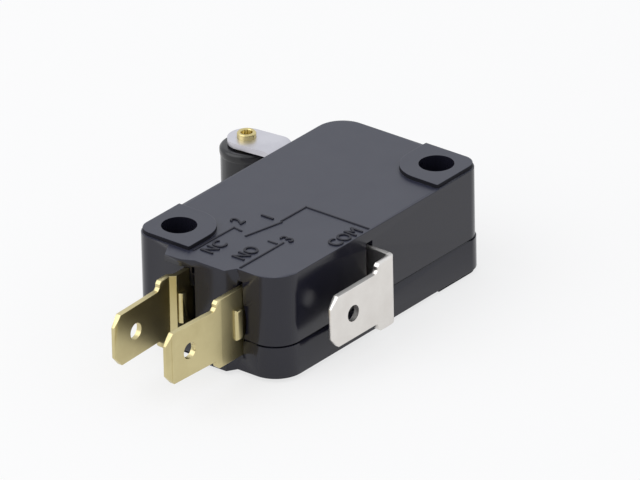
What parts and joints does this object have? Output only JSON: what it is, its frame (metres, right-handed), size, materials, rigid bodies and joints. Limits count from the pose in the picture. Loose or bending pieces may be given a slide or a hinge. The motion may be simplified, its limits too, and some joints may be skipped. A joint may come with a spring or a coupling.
{
  "type": "lever micro switch",
  "caption": "Miniature snap-action switch with a short hinged roller lever, flat push-on terminals and through mounting holes.",
  "frame": {"origin": "axis of the mounting hole beside the two end terminals, on the seating face of the cover's pads", "axes": "+X along the case from the end terminals towards the plunger, +Y towards the lever and roller, +Z through the thickness, along the mounting holes and the hinge pin"},
  "size_m": [0.0376, 0.0267, 0.0103],
  "materials": {
    "dark_plastic": "moulded, semi-gloss",
    "roller_plastic": "moulded, semi-gloss",
    "lever_steel": "rolled stainless strip",
    "pin_steel": "drawn",
    "blade_brass": "rolled",
    "rivet_brass": "drawn tube",
    "plated_blade": "silver plate on brass",
    "contact_silver": "silver alloy",
    "arm_copper": "beryllium copper strip",
    "spring_steel": "drawn spring wire"
  },
  "bodies": {
    "base": {"case": "dark_plastic", "cover": "dark_plastic", "hinge_pin": "pin_steel", "common_terminal": "plated_blade", "open_terminal": "blade_brass", "closed_terminal": "blade_brass", "open_contact": "contact_silver", "closed_contact": "contact_silver"},
    "lever": {"lever": "lever_steel", "roller_rivet": "rivet_brass"},
    "roller": {"roller": "roller_plastic"},
    "plunger": {"plunger": "dark_plastic"},
    "rocker": {"rocker": "dark_plastic"},
    "spring": {"tension_spring": "spring_steel"},
    "contact_arm": {"contact_arm": "arm_copper", "moving_contact": "contact_silver"}
  },
  "joints": [
    {"name": "lever_hinge", "type": "hinge", "parent": "base", "child": "lever", "pos_m": [0.0112, 0.0021, 0.00515], "axis": [0, 0, 1], "range_deg": [-8, 0], "stiffness_Nm_per_rad": 0.05, "springref_deg": 20.05},
    {"name": "roller_spin", "type": "hinge", "parent": "lever", "child": "roller", "pos_m": [0.01957, 0.00856, 0.00515], "axis": [0, 0, 1], "continuous": true},
    {"name": "plunger_slide", "type": "slide", "parent": "base", "child": "plunger", "axis": [0, 1, 0], "range_m": [-0.00128, 0]},
    {"name": "rocker_hinge", "type": "hinge", "parent": "base", "child": "rocker", "pos_m": [0.0148, -0.00517, 0.00515], "axis": [0, 0, 1], "range_deg": [-15.1, 0]},
    {"name": "spring_hinge", "type": "hinge", "parent": "rocker", "child": "spring", "pos_m": [0.0166, -0.00422, 0.00515], "axis": [0, 0, 1], "range_deg": [0, 15.95]},
    {"name": "arm_hinge", "type": "hinge", "parent": "base", "child": "contact_arm", "pos_m": [0.013, -0.00442, 0.00515], "axis": [0, 0, 1], "range_deg": [0, 5.6]}
  ],
  "couplings": [
    {"joint": "plunger_slide", "follows": "lever_hinge", "m_per_rad": 0.00909},
    {"joint": "rocker_hinge", "follows": "lever_hinge", "ratio": 1.875},
    {"joint": "spring_hinge", "follows": "lever_hinge", "ratio": -1.98},
    {"joint": "arm_hinge", "follows": "lever_hinge", "ratio": -0.6875}
  ]
}
